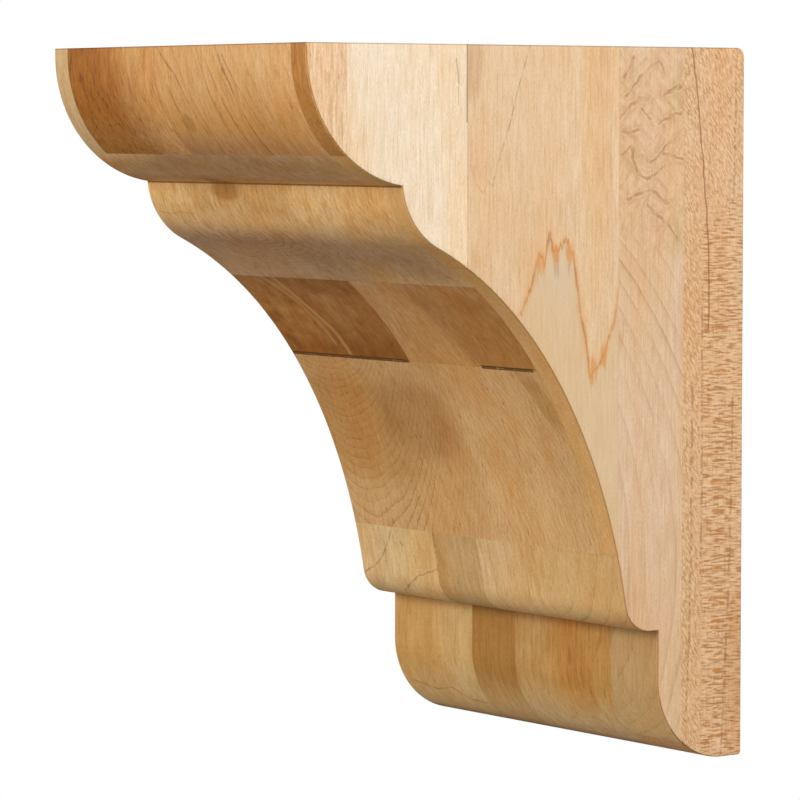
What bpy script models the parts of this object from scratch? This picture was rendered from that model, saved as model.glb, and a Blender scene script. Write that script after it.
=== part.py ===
"""Wooden corbel bracket, shaped as one solid from a glued-up hardwood blank.

Metres, +Z up. The origin is the centre of the flat back, which is fixed to a wall.
The front faces -Y and the width runs along X.

The outline is worked out in the plane of the side face. There, depth runs from the front
edge of the cap toward the wall, and drop runs from the top surface downward.
"""

import math

import bmesh
import bpy
from mathutils import Vector

COLLECTION_NAME = "wooden_corbel_bracket"
NODE_NAME = "corbel"

# Overall size
WIDTH = 0.1270
DEPTH = 0.1524
HEIGHT = 0.2032

# Cap: a short square lip with a large quarter round under it
LIP_DROP = 0.0022
CAP_RADIUS = 0.0365
CAP_STEP = 0.0314

# Neck: the rounded shoulder that starts the cove, set back under the cap
NECK_RADIUS = 0.0214
NECK_START_HEADING = math.radians(84.0)
NECK_END_HEADING = math.radians(26.0)

# Cove: the long hollow, with its end tangents' pull as shares of its chord
COVE_UPPER_PULL = 0.37
COVE_LOWER_PULL = 0.31
COVE_END_HEADING = math.radians(80.5)

# Nose: the lower end of the cove, rounded under, with a narrow flat soffit behind it
NOSE_RADIUS = 0.0090
NOSE_OVERHANG = 0.0120

# Foot: the small block under the nose, with a quarter round at its front
FOOT_HEIGHT = 0.0381
FOOT_THICKNESS = 0.0311
FOOT_RADIUS = 0.0240

# Edges
BACK_TOP_RADIUS = 0.0025
BACK_BOTTOM_RADIUS = 0.0010
ARRIS = 0.0004

# Fineness of the faceted outline
ARC_STEP = math.radians(6.0)
COVE_SEGMENTS = 36
WELD_DISTANCE = 0.00001
FLAT_ANGLE = math.radians(0.1)
SIDE_FACE_TOLERANCE = 0.00001

WOOD_COLOUR = (0.62, 0.40, 0.23, 1.0)
WOOD_ROUGHNESS = 0.55

QUARTER_TURN = math.pi / 2


def heading_vector(heading):
    """Direction in depth and drop: 0 runs toward the wall, a quarter turn runs down."""
    return Vector((math.cos(heading), math.sin(heading)))


def outward_vector(heading):
    """Direction away from the wood for an outline that is running along a heading."""
    return Vector((-math.sin(heading), math.cos(heading)))


def rounded(centre, radius, start_heading, end_heading):
    """Points along a convex arc, given by the outline's heading at its two ends."""
    segments = max(2, math.ceil(abs(end_heading - start_heading) / ARC_STEP))
    turn = (end_heading - start_heading) / segments
    headings = [start_heading + turn * i for i in range(segments + 1)]
    return [centre + outward_vector(heading) * radius for heading in headings]


def cap_points():
    """Top front edge, lip and quarter round, ending where the neck starts."""
    reach = min(CAP_STEP, CAP_RADIUS)
    end_heading = math.asin((CAP_RADIUS - reach) / CAP_RADIUS)
    centre = Vector((CAP_RADIUS, LIP_DROP))
    points = [Vector((0.0, 0.0))]
    points += rounded(centre, CAP_RADIUS, QUARTER_TURN, end_heading)
    points.append(Vector((CAP_STEP, points[-1].y)))
    return points


def neck_points(start):
    """Rounded shoulder from the inner corner under the cap to the start of the cove."""
    centre = start - outward_vector(NECK_START_HEADING) * NECK_RADIUS
    return rounded(centre, NECK_RADIUS, NECK_START_HEADING, NECK_END_HEADING)


def nose_points():
    """Rounded end of the cove, down to the soffit."""
    front = DEPTH - FOOT_THICKNESS - NOSE_OVERHANG
    centre = Vector((front + NOSE_RADIUS, HEIGHT - FOOT_HEIGHT - NOSE_RADIUS))
    return rounded(centre, NOSE_RADIUS, COVE_END_HEADING, 0.0)


def cove_points(start, end):
    """Inner points of the hollow, a cubic curve tangent to the neck and the nose."""
    chord = (end - start).length
    pull_start = start + heading_vector(NECK_END_HEADING) * chord * COVE_UPPER_PULL
    pull_end = end - heading_vector(COVE_END_HEADING) * chord * COVE_LOWER_PULL
    points = []
    for i in range(1, COVE_SEGMENTS):
        t = i / COVE_SEGMENTS
        s = 1.0 - t
        points.append(
            start * s**3
            + pull_start * (3 * s * s * t)
            + pull_end * (3 * s * t * t)
            + end * t**3
        )
    return points


def foot_points():
    """Front of the foot from the soffit down, then its quarter round."""
    front = DEPTH - FOOT_THICKNESS
    centre = Vector((front + FOOT_RADIUS, HEIGHT - FOOT_RADIUS))
    points = [Vector((front, HEIGHT - FOOT_HEIGHT))]
    points += rounded(centre, FOOT_RADIUS, QUARTER_TURN, 0.0)
    return points


def back_points():
    """Eased lower and upper corners of the flat back."""
    lower = Vector((DEPTH - BACK_BOTTOM_RADIUS, HEIGHT - BACK_BOTTOM_RADIUS))
    upper = Vector((DEPTH - BACK_TOP_RADIUS, BACK_TOP_RADIUS))
    points = rounded(lower, BACK_BOTTOM_RADIUS, 0.0, -QUARTER_TURN)
    points += rounded(upper, BACK_TOP_RADIUS, -QUARTER_TURN, -2 * QUARTER_TURN)
    return points


def outline_points():
    """The whole closed outline, from the top front edge down and back along the wall."""
    cap = cap_points()
    neck = neck_points(cap[-1])
    nose = nose_points()
    cove = cove_points(neck[-1], nose[0])
    return cap + neck[1:] + cove + nose + foot_points() + back_points()


def make_wood():
    material = bpy.data.materials.new("wood")
    material.use_nodes = True
    shader = material.node_tree.nodes["Principled BSDF"]
    shader.inputs["Base Color"].default_value = WOOD_COLOUR
    shader.inputs["Roughness"].default_value = WOOD_ROUGHNESS
    shader.inputs["Metallic"].default_value = 0.0
    material.diffuse_color = WOOD_COLOUR
    return material


def make_outline_curve(collection):
    """The outline as a filled flat curve with the corbel's full width."""
    points = outline_points()
    curve = bpy.data.curves.new("outline", "CURVE")
    curve.dimensions = "2D"
    curve.fill_mode = "BOTH"
    curve.extrude = WIDTH / 2
    spline = curve.splines.new("POLY")
    spline.points.add(len(points) - 1)
    for place, point in zip(spline.points, points):
        place.co = (point.x - DEPTH, HEIGHT / 2 - point.y, 0.0, 1.0)
    spline.use_cyclic_u = True
    outline = bpy.data.objects.new("outline", curve)
    outline.rotation_euler = (QUARTER_TURN, 0.0, QUARTER_TURN)
    collection.objects.link(outline)
    return outline


def on_side_face(edge):
    """True for an edge that lies in one of the two flat side faces."""
    start, end = (vert.co.x for vert in edge.verts)
    same_side = abs(start - end) < SIDE_FACE_TOLERANCE
    return same_side and abs(abs(start) - WIDTH / 2) < SIDE_FACE_TOLERANCE


def ease_side_edges(mesh):
    """Weld the solid, make each side one flat face and break its sharp edge."""
    shape = bmesh.new()
    shape.from_mesh(mesh)
    bmesh.ops.remove_doubles(shape, verts=shape.verts, dist=WELD_DISTANCE)
    bmesh.ops.dissolve_limit(
        shape, angle_limit=FLAT_ANGLE, verts=shape.verts, edges=shape.edges
    )
    edges = [edge for edge in shape.edges if on_side_face(edge)]
    bmesh.ops.bevel(
        shape, geom=edges, offset=ARRIS, offset_type="OFFSET", segments=1, affect="EDGES"
    )
    bmesh.ops.recalc_face_normals(shape, faces=shape.faces)
    shape.to_mesh(mesh)
    shape.free()


def make_corbel(collection):
    outline = make_outline_curve(collection)
    bpy.context.view_layer.update()
    graph = bpy.context.evaluated_depsgraph_get()
    mesh = bpy.data.meshes.new_from_object(outline.evaluated_get(graph))
    mesh.transform(outline.matrix_world)
    bpy.data.objects.remove(outline)
    ease_side_edges(mesh)
    mesh.name = NODE_NAME
    mesh.materials.clear()
    mesh.materials.append(make_wood())
    mesh.shade_smooth()
    mesh.set_sharp_from_angle(angle=math.radians(30.0))
    corbel = bpy.data.objects.new(NODE_NAME, mesh)
    collection.objects.link(corbel)
    return corbel


def main():
    for old in list(bpy.data.objects):
        bpy.data.objects.remove(old, do_unlink=True)
    collection = bpy.data.collections.new(COLLECTION_NAME)
    bpy.context.scene.collection.children.link(collection)
    make_corbel(collection)


main()
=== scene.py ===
"""Looks of the wooden corbel bracket: its glued-up boards, grain, edges, light and camera.

Lengths are in millimetres until a mesh, lamp or camera is made. A place on the wood is given as
width (from the side that the camera sees), depth (from the front edge of the cap toward the
wall) and drop (from the top downward).
"""

import math

import bmesh
import bpy
import numpy as np
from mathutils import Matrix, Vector
from mathutils.geometry import delaunay_2d_cdt
from mathutils.noise import noise


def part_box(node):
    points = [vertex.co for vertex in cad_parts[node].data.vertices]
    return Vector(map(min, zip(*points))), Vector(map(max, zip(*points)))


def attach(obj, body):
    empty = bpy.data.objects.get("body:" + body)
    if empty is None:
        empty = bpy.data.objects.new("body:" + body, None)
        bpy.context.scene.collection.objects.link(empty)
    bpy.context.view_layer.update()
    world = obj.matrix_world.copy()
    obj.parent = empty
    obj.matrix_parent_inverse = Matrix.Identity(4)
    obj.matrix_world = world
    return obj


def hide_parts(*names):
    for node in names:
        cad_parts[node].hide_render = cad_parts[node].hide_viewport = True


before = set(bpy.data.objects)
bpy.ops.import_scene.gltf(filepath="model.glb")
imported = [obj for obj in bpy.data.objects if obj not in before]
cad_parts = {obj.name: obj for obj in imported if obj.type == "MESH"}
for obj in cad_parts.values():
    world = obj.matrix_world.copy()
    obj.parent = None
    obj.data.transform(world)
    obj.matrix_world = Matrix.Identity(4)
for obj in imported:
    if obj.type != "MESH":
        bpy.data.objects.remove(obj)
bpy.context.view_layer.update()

LOW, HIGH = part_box("corbel")
MM = 0.001
WIDTH = (HIGH[0] - LOW[0]) / MM
DEPTH = (HIGH[1] - LOW[1]) / MM
HEIGHT = (HIGH[2] - LOW[2]) / MM

# Outline, the same sizes as the solid's
LIP_DROP = 2.2
CAP_RADIUS = 36.5
CAP_STEP = 31.4
NECK_RADIUS = 21.4
NECK_START_HEADING = math.radians(84.0)
NECK_END_HEADING = math.radians(26.0)
COVE_UPPER_PULL = 0.37
COVE_LOWER_PULL = 0.31
COVE_END_HEADING = math.radians(80.5)
NOSE_RADIUS = 9.0
NOSE_OVERHANG = 12.0
FOOT_HEIGHT = 38.1
FOOT_THICKNESS = 31.1
FOOT_RADIUS = 24.0
BACK_TOP_RADIUS = 2.5
BACK_BOTTOM_RADIUS = 1.0
QUARTER = math.pi / 2

# Fineness of the mesh
CURVE_STEP = 0.8
FLAT_STEP = 3.0
WIDTH_STEP = 1.1
SIDE_STEP = 2.6
ARRIS = 0.42
ARRIS_STEPS = 3
COVE_SURPLUS = 1.05
CUT_MARGIN = 0.02
JOIN_TOLERANCE = 1e-5
WELD_DISTANCE = 2e-6
SHARP_ANGLE = math.radians(40.0)

# Grain torn out along the low joint of the cove
TEAR_SIDE = 0.45
TEAR_DEPTH = 0.30
TEAR_RUNS = ((9.0, 32.6), (67.4, 126.4))

# Glue planes. The thin skin on the camera's side has its own boards.
SKIN = 7.4
SKIN_DEPTHS = (13.1, 53.3)
NECK_DEPTH = 13.1
COVE_DEPTH = 61.0
LOW_COVE_DEPTH = 83.2
FOOT_DEPTH = 106.4
BACK_DEPTH = 130.0
CAP_SPLITS = (74.5, 119.8)
COVE_SPLIT = 67.2
FOOT_SPLITS = (66.3, 87.2)
NOSE_SPLIT = 34.5
FOOT_NEAR_SPLIT = 21.0


def heading_vector(heading):
    return np.array([math.cos(heading), math.sin(heading)])


def outward_vector(heading):
    return np.array([-math.sin(heading), math.cos(heading)])


def rounded(centre, radius, start, end):
    """Points along a convex arc, given by the outline's heading at its two ends."""
    steps = max(3, math.ceil(abs(end - start) * radius / CURVE_STEP))
    headings = [start + (end - start) * i / steps for i in range(steps + 1)]
    return [np.array(centre) + outward_vector(h) * radius for h in headings]


def cap_points():
    end = math.asin((CAP_RADIUS - CAP_STEP) / CAP_RADIUS)
    arc = rounded((CAP_RADIUS, LIP_DROP), CAP_RADIUS, QUARTER, end)
    return [np.zeros(2)] + arc


def neck_points(start):
    centre = start - outward_vector(NECK_START_HEADING) * NECK_RADIUS
    return rounded(centre, NECK_RADIUS, NECK_START_HEADING, NECK_END_HEADING)


def nose_points():
    front = DEPTH - FOOT_THICKNESS - NOSE_OVERHANG
    centre = (front + NOSE_RADIUS, HEIGHT - FOOT_HEIGHT - NOSE_RADIUS)
    return rounded(centre, NOSE_RADIUS, COVE_END_HEADING, 0.0)


def cove_points(start, end):
    chord = float(np.linalg.norm(end - start))
    upper = start + heading_vector(NECK_END_HEADING) * chord * COVE_UPPER_PULL
    lower = end - heading_vector(COVE_END_HEADING) * chord * COVE_LOWER_PULL
    steps = math.ceil(chord * COVE_SURPLUS / CURVE_STEP)
    points = []
    for i in range(1, steps):
        t = i / steps
        s = 1.0 - t
        points.append(start * s**3 + upper * 3 * s * s * t + lower * 3 * s * t * t + end * t**3)
    return points


def foot_points():
    front = DEPTH - FOOT_THICKNESS
    corner = np.array([front, HEIGHT - FOOT_HEIGHT])
    arc = rounded((front + FOOT_RADIUS, HEIGHT - FOOT_RADIUS), FOOT_RADIUS, QUARTER, 0.0)
    return [corner] + arc


def back_points():
    lower = (DEPTH - BACK_BOTTOM_RADIUS, HEIGHT - BACK_BOTTOM_RADIUS)
    upper = (DEPTH - BACK_TOP_RADIUS, BACK_TOP_RADIUS)
    points = rounded(lower, BACK_BOTTOM_RADIUS, 0.0, -QUARTER)
    return points + rounded(upper, BACK_TOP_RADIUS, -QUARTER, -2 * QUARTER)


def split_long(points):
    """The closed outline with its long straight runs cut into short ones."""
    result = []
    for here, there in zip(points, points[1:] + points[:1]):
        count = max(1, math.ceil(np.linalg.norm(there - here) / FLAT_STEP))
        result += [here + (there - here) * i / count for i in range(count)]
    return result


def cut_at_depth(points, depth):
    """The closed outline with a point where it crosses a glue plane."""
    result = []
    for here, there in zip(points, points[1:] + points[:1]):
        result.append(here)
        if (here[0] - depth) * (there[0] - depth) < 0:
            t = (depth - here[0]) / (there[0] - here[0])
            if CUT_MARGIN < t < 1 - CUT_MARGIN:
                result.append(here + (there - here) * t)
    return result


def outline():
    cap = cap_points()
    neck = neck_points(cap[-1])
    nose = nose_points()
    cove = cove_points(neck[-1], nose[0])
    points = cap + neck[1:] + cove + nose + foot_points() + back_points()
    points = split_long(points)
    planes = {*SKIN_DEPTHS, NECK_DEPTH, COVE_DEPTH, LOW_COVE_DEPTH, FOOT_DEPTH, BACK_DEPTH}
    planes |= {LOW_COVE_DEPTH + TEAR_SIDE * share for share in (-1, -1 / 3, 1 / 3)}
    for depth in sorted(planes):
        points = cut_at_depth(points, depth)
    return np.array(points)


def torn_depth(width, depth, drop):
    """How far in the wood is torn out along the low joint of the cove, in a ragged groove."""
    in_cove = drop >= CAP_STEP + NECK_RADIUS
    on_line = abs(depth - LOW_COVE_DEPTH + TEAR_SIDE / 3) <= TEAR_SIDE * 0.5
    in_run = any(start < width < end for start, end in TEAR_RUNS)
    if not (in_cove and on_line and in_run):
        return 0.0
    rag = noise(Vector((width * 0.3, 3.1, 5.2)))
    return TEAR_DEPTH * (0.75 + 0.6 * rag)


def inward_normals(points):
    """For each outline point, the step inward that eases both its neighbours evenly."""
    ahead = np.roll(points, -1, axis=0) - points
    ahead /= np.linalg.norm(ahead, axis=1)[:, None]
    behind = np.roll(ahead, 1, axis=0)
    inward = np.stack([ahead[:, 1] + behind[:, 1], -ahead[:, 0] - behind[:, 0]], axis=1)
    size = np.linalg.norm(inward, axis=1)[:, None]
    return inward / size / np.maximum(size / 2, 0.5)


def width_stations():
    """Widths of the mesh columns, with how far each is eased inward."""
    inner = {ARRIS, WIDTH - ARRIS, SKIN, COVE_SPLIT, NOSE_SPLIT, FOOT_NEAR_SPLIT}
    inner |= {*CAP_SPLITS, *FOOT_SPLITS}
    marks = sorted(inner)
    widths = []
    for start, end in zip(marks, marks[1:]):
        count = max(1, math.ceil((end - start) / WIDTH_STEP))
        widths += [start + (end - start) * i / count for i in range(count)]
    widths.append(marks[-1])
    eased = []
    for i in range(ARRIS_STEPS):
        angle = QUARTER * (1 - i / ARRIS_STEPS)
        eased.append((ARRIS * (1 - math.sin(angle)), ARRIS * (1 - math.cos(angle))))
    middle = [(w, 0.0) for w in widths]
    far = [(WIDTH - w, inset) for w, inset in reversed(eased)]
    return eased + middle + far


def to_world(width, depth, drop):
    return Vector((HIGH[0] - width * MM, LOW[1] + depth * MM, HIGH[2] - drop * MM))


def inside(points, polygon):
    """Which points lie inside a closed polygon."""
    x, y = points[:, 0][:, None], points[:, 1][:, None]
    x1, y1 = polygon[:, 0], polygon[:, 1]
    x2, y2 = np.roll(x1, -1), np.roll(y1, -1)
    spans = (y1 > y) != (y2 > y)
    with np.errstate(divide="ignore", invalid="ignore"):
        crossing = (x2 - x1) * (y - y1) / (y2 - y1) + x1
    return (spans & (x < crossing)).sum(axis=1) % 2 == 1


def side_face(loop, depths):
    """Triangles that fill one flat side, with edges along its glue lines."""
    grid = np.array([
        (depth, drop)
        for depth in np.arange(SIDE_STEP / 2, DEPTH, SIDE_STEP)
        for drop in np.arange(SIDE_STEP / 2, HEIGHT, SIDE_STEP)
    ])
    grid = grid[inside(grid, loop)]
    gap = np.min(np.linalg.norm(grid[:, None] - loop[None], axis=2), axis=1)
    clear = gap > SIDE_STEP * 0.4
    for depth in depths:
        clear &= np.abs(grid[:, 0] - depth) > SIDE_STEP * 0.3
    grid = grid[clear]
    count = len(loop)
    edges = [(i, (i + 1) % count) for i in range(count)]
    extra = []
    for depth in depths:
        ends = np.argsort(np.abs(loop[:, 0] - depth))[:2]
        top, bottom = sorted(ends, key=lambda i: loop[i, 1])
        steps = math.ceil((loop[bottom, 1] - loop[top, 1]) / SIDE_STEP)
        chain = [int(top)]
        for i in range(1, steps):
            chain.append(count + len(extra))
            extra.append(loop[top] + (loop[bottom] - loop[top]) * i / steps)
        chain.append(int(bottom))
        edges += list(zip(chain, chain[1:]))
    points = np.vstack([loop] + ([np.array(extra)] if extra else []) + [grid])
    vectors = [Vector((float(a), float(b))) for a, b in points]
    result = delaunay_2d_cdt(vectors, edges, [list(range(count))], 1, JOIN_TOLERANCE)
    return result[0], result[2]


def board_at(width, depth):
    """Name of the board that a place belongs to."""
    if width < SKIN and depth < FOOT_DEPTH:
        if depth < SKIN_DEPTHS[0]:
            return "skin_front"
        return "skin_pale" if depth < SKIN_DEPTHS[1] else "skin_stained"
    if depth < NECK_DEPTH:
        if width > CAP_SPLITS[1]:
            return "cap_far"
        return "cap_dark" if width > CAP_SPLITS[0] else "cap_main"
    if depth < COVE_DEPTH:
        return "neck"
    if depth < LOW_COVE_DEPTH:
        return "cove_dark" if width > COVE_SPLIT else "cove_near"
    if depth < FOOT_DEPTH:
        return "cove_low"
    if width > FOOT_SPLITS[1]:
        return "foot_far"
    if width > FOOT_SPLITS[0]:
        return "foot_brown"
    foot_front = DEPTH - FOOT_THICKNESS
    near_split = NOSE_SPLIT if depth < foot_front - 0.01 else FOOT_NEAR_SPLIT
    if width > near_split:
        return "foot_mid"
    return "skin_slanted" if depth < BACK_DEPTH else "skin_back"


def make_body():
    points = outline()
    inward = inward_normals(points)
    stations = width_stations()
    shape = bmesh.new()
    rings = []
    for width, inset in stations:
        torn = np.array([torn_depth(width, *place) for place in points])
        ring = points + inward * (inset + torn)[:, None]
        rings.append([shape.verts.new(to_world(width, *place)) for place in ring])
    count = len(points)
    for near, far in zip(rings, rings[1:]):
        for i in range(count):
            j = (i + 1) % count
            shape.faces.new((near[i], near[j], far[j], far[i]))
    for width, depths in (
        (0.0, (*SKIN_DEPTHS, FOOT_DEPTH, BACK_DEPTH)),
        (WIDTH, (NECK_DEPTH, COVE_DEPTH, LOW_COVE_DEPTH, FOOT_DEPTH)),
    ):
        places, faces = side_face(points + inward * ARRIS, depths)
        verts = [shape.verts.new(to_world(width, *place)) for place in places]
        for face in faces:
            shape.faces.new([verts[i] for i in face])
    bmesh.ops.remove_doubles(shape, verts=shape.verts, dist=WELD_DISTANCE)
    bmesh.ops.recalc_face_normals(shape, faces=shape.faces)
    for face in shape.faces:
        centre = face.calc_center_median()
        width = (HIGH[0] - centre.x) / MM
        depth = (centre.y - LOW[1]) / MM
        face.material_index = BOARD_NAMES.index(board_at(width, depth))
        face.smooth = True
    mesh = bpy.data.meshes.new("corbel_wood")
    shape.to_mesh(mesh)
    shape.free()
    body = bpy.data.objects.new("corbel_wood", mesh)
    bpy.context.scene.collection.objects.link(body)
    mesh.set_sharp_from_angle(angle=SHARP_ANGLE)
    weighted = body.modifiers.new("even shading", "WEIGHTED_NORMAL")
    weighted.keep_sharp = True
    return body


SIDE_VIEW = (1, 2)
FRONT_VIEW = (0, 2)
WHITE = (1.0, 1.0, 1.0, 1.0)


class Field:
    """A value that varies from place to place: one output of a node, with sums that add nodes."""

    def __init__(self, net, socket):
        self.net = net
        self.socket = socket

    def __add__(self, other):
        return self.net.math("ADD", self, other)

    def __sub__(self, other):
        return self.net.math("SUBTRACT", self, other)

    def __mul__(self, other):
        return self.net.math("MULTIPLY", self, other)

    def __truediv__(self, other):
        return self.net.math("DIVIDE", self, other)

    def rise(self, low, high, start=0.0, end=1.0):
        """Goes smoothly from start at the low value to end at the high one."""
        return self.net.range(self, low, high, start, end)

    def fall(self, low, high, start=1.0, end=0.0):
        return self.net.range(self, low, high, start, end)

    def band(self, low, high, soft):
        """1 between two values, fading to 0 across the soft width at each."""
        half = soft / 2
        return self.rise(low - half, low + half) * self.fall(high - half, high + half)


class Net:
    """Short calls that add nodes to one tree and wire them."""

    def __init__(self, tree):
        self.tree = tree

    def add(self, kind, inputs=None, **settings):
        """A new node; inputs maps socket names or places to values or fields."""
        node = self.tree.nodes.new(kind)
        for key, value in settings.items():
            setattr(node, key, value)
        for key, value in (inputs or {}).items():
            if isinstance(value, Field):
                self.tree.links.new(value.socket, node.inputs[key])
            else:
                node.inputs[key].default_value = value
        return node

    def field(self, kind, inputs=None, output=0, **settings):
        """One output of a new node."""
        return Field(self, self.add(kind, inputs, **settings).outputs[output])

    def wire(self, field, node, socket):
        """Lead a field into a node that the tree has from the start."""
        self.tree.links.new(field.socket, self.tree.nodes[node].inputs[socket])

    def math(self, operation, *values, clamp=False):
        inputs = dict(enumerate(values))
        return self.field("ShaderNodeMath", inputs, operation=operation, use_clamp=clamp)

    def together(self, operation, values):
        """Several values joined one after another by the same operation."""
        total, *others = values
        for value in others:
            total = self.math(operation, total, value)
        return total

    def vector(self, operation, *values):
        output = "Value" if operation in {"LENGTH", "DOT_PRODUCT"} else "Vector"
        inputs = dict(enumerate(values))
        return self.field("ShaderNodeVectorMath", inputs, output, operation=operation)

    def scaled(self, vector, factor):
        inputs = {0: vector, "Scale": factor}
        return self.field("ShaderNodeVectorMath", inputs, operation="SCALE")

    def parts(self, vector):
        node = self.add("ShaderNodeSeparateXYZ", {0: vector})
        return [Field(self, output) for output in node.outputs]

    def joined(self, *parts):
        return self.field("ShaderNodeCombineXYZ", dict(enumerate(parts)))

    def range(self, value, low, high, to_low=0.0, to_high=1.0, smooth=True):
        kind = "SMOOTHSTEP" if smooth else "LINEAR"
        inputs = {0: value, 1: low, 2: high, 3: to_low, 4: to_high}
        return self.field("ShaderNodeMapRange", inputs, interpolation_type=kind, clamp=True)

    def mixed(self, share, first, second):
        return self.field("ShaderNodeMix", {0: share, 2: first, 3: second})

    def blend(self, share, first, second, mode="MIX"):
        """Two colours mixed."""
        inputs = {0: share, 6: first, 7: second}
        return self.field("ShaderNodeMix", inputs, 2, data_type="RGBA", blend_type=mode)


class Wood(Net):
    """A board's nodes, the place of the shaded point and the colour built up there so far."""

    def __init__(self, tree):
        super().__init__(tree)
        point = self.field("ShaderNodeTexCoord", output="Object")
        zero = (HIGH[0] / MM, -LOW[1] / MM, HIGH[2] / MM)
        self.place = self.vector("MULTIPLY_ADD", point, (-1 / MM, 1 / MM, -1 / MM), zero)
        self.axes = self.parts(self.place)
        self.width, self.depth, self.drop = self.axes
        self.colour = None

    def noise(self, per_mm, seed, detail=2.0, roughness=0.5, place=None):
        """Noise about 0.5. Its waves per millimetre are one number, or across and down."""
        if isinstance(per_mm, float):
            per_mm = (per_mm, per_mm)
        if len(per_mm) == 2:
            per_mm = (per_mm[0], *per_mm)
        offset = (seed, seed * 1.7, seed * 0.6)
        moved = self.vector("MULTIPLY_ADD", place or self.place, per_mm, offset)
        inputs = {"Vector": moved, "Scale": 1.0, "Detail": detail, "Roughness": roughness}
        return self.field("ShaderNodeTexNoise", inputs, "Fac")

    def shaken(self, value, reach, per_mm, seed):
        """A value pushed to and fro by noise, up to the reach each way."""
        push = self.noise(per_mm, seed, 2.0, 0.6) - 0.5
        return self.math("MULTIPLY_ADD", push, reach * 2, value)

    def cells(self, inputs, **settings):
        """Uneven cells: the gap to the nearest one's middle, and three random shares of it."""
        inputs = {**inputs, "Scale": 1.0, "Randomness": 0.9}
        node = self.add("ShaderNodeTexVoronoi", inputs, **settings)
        chances = self.parts(Field(self, node.outputs["Color"]))
        return Field(self, node.outputs["Distance"]), chances

    def path_gap(self, place, path, axes):
        """Distance to a path of straight runs, seen along the axis that the path leaves out."""
        keep = tuple(float(axis in axes) for axis in range(3))
        flat = self.vector("MULTIPLY", place, keep)
        gaps = []
        for start, end in zip(path, path[1:]):
            origin = Vector((0.0, 0.0, 0.0))
            run = Vector((0.0, 0.0, 0.0))
            for axis, a, b in zip(axes, start, end):
                origin[axis] = a
                run[axis] = b - a
            away = self.vector("SUBTRACT", flat, tuple(origin))
            along = self.vector("DOT_PRODUCT", away, tuple(run / run.length_squared))
            along = self.math("MULTIPLY", along, 1.0, clamp=True)
            foot = self.scaled(tuple(run), along)
            gaps.append(self.vector("LENGTH", self.vector("SUBTRACT", away, foot)))
        return self.together("MINIMUM", gaps)

    def stroke(self, place, path, half_width, axes=SIDE_VIEW, soft=1.4):
        """1 along a path, fading to 0 at its sides."""
        gap = self.path_gap(place, path, axes)
        return gap.fall(half_width * (1 - soft / 2), half_width * (1 + soft / 2))

    def spot(self, place, centre, size, axes=SIDE_VIEW):
        """1 at the middle of an ellipse, fading to 0 at its rim."""
        middle = [0.0, 0.0, 0.0]
        grow = [0.0, 0.0, 0.0]
        for axis, at, half in zip(axes, centre, size):
            middle[axis] = at
            grow[axis] = 1 / half
        away = self.vector("MULTIPLY", self.vector("SUBTRACT", place, middle), grow)
        return self.vector("LENGTH", away).fall(0.5, 1.0)

    def paint(self, paint, *zones):
        """Lay a paint over the colour, as far as the product of the zones says."""
        share = self.together("MULTIPLY", zones)
        self.colour = self.blend(share, self.colour, (*paint, 1.0))

    def tint(self, tint, *zones):
        """Multiply the colour by a tint, as far as the product of the zones says."""
        share = self.together("MULTIPLY", zones)
        self.colour = self.blend(share, self.colour, (*tint, 1.0), "MULTIPLY")

    def marked(self, colour, features):
        """A colour with some features laid over it."""
        self.colour = colour
        for feature in features:
            feature(self)
        return self.colour


def growth_rings(wood, look):
    """Distance from the pith in rings; the pith line drifts and bends as it goes down."""
    seed = look["seed"]
    centre = wood.scaled((*look.get("drift", (0.0, 0.0)), 0.0), wood.drop)
    if "bend" in look:
        rate, apex = look["bend"]
        sag = wood.math("POWER", wood.drop - apex, 2.0)
        centre = wood.vector("ADD", centre, wood.scaled((0.0, rate, 0.0), sag))
    centre = wood.vector("ADD", centre, (*look["pith"], 0.0))
    fold, pull = look.get("fold", (-WIDTH, 0.0))
    folded = wood.vector("MAXIMUM", wood.place, (fold, -DEPTH, -HEIGHT))
    across = wood.vector("MULTIPLY", wood.vector("SUBTRACT", folded, centre), (1.0, 1.0, 0.0))
    beyond = wood.parts(folded)[0] - wood.width
    radius = wood.vector("LENGTH", across) - beyond * pull
    wave = look.get("wave", 1.0)
    radius = wood.shaken(radius, wave, (0.03, 0.014), seed)
    radius = wood.shaken(radius, wave * 0.25, (0.2, 0.06), seed + 3.0)
    return radius / look["spacing"]


def ring_lines(wood, rings, look):
    """Thin dark late wood at each ring's edge, some rings stronger than others."""
    seed = look["seed"]
    whole = wood.math("FLOOR", rings)
    part = rings - whole
    inputs = {"W": whole + seed * 7.3}
    chance = wood.field("ShaderNodeTexWhiteNoise", inputs, "Value", noise_dimensions="1D")
    strength = wood.range(chance, 1 - look.get("share", 0.8), 1.0, 0.1, 1.0, smooth=False)
    edge = wood.math("MAXIMUM", wood.math("POWER", part, 9.0), part.fall(0.0, 0.10, 0.6))
    lines = edge * strength * wood.noise((0.14, 0.035), seed + 5.0).rise(0.35, 0.62, 0.3)
    if "fade" in look:
        axis, *limits = look["fade"]
        lines = lines * wood.axes[axis].rise(*limits)
    return lines


GLUE_TINT = (0.50, 0.36, 0.24)
GLUE_CORE = 0.07
GLUE_REACH = 0.252
# Painted shade along the top and wall rims: its tint, and how far in it is full and where it ends.
RIM_SHADE_TINT = (0.55, 0.42, 0.30)
RIM_CORE = 0.10
RIM_REACH = 0.45


def glue_lines(wood, edges):
    """How dark the joints are; each is an axis (0 width, 1 depth), a place and a strength."""
    lines = []
    for axis, at, strength in edges:
        gap = wood.math("ABSOLUTE", wood.axes[axis] - at)
        lines.append(gap.fall(GLUE_CORE, GLUE_REACH, strength))
    return wood.together("MAXIMUM", lines)


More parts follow.
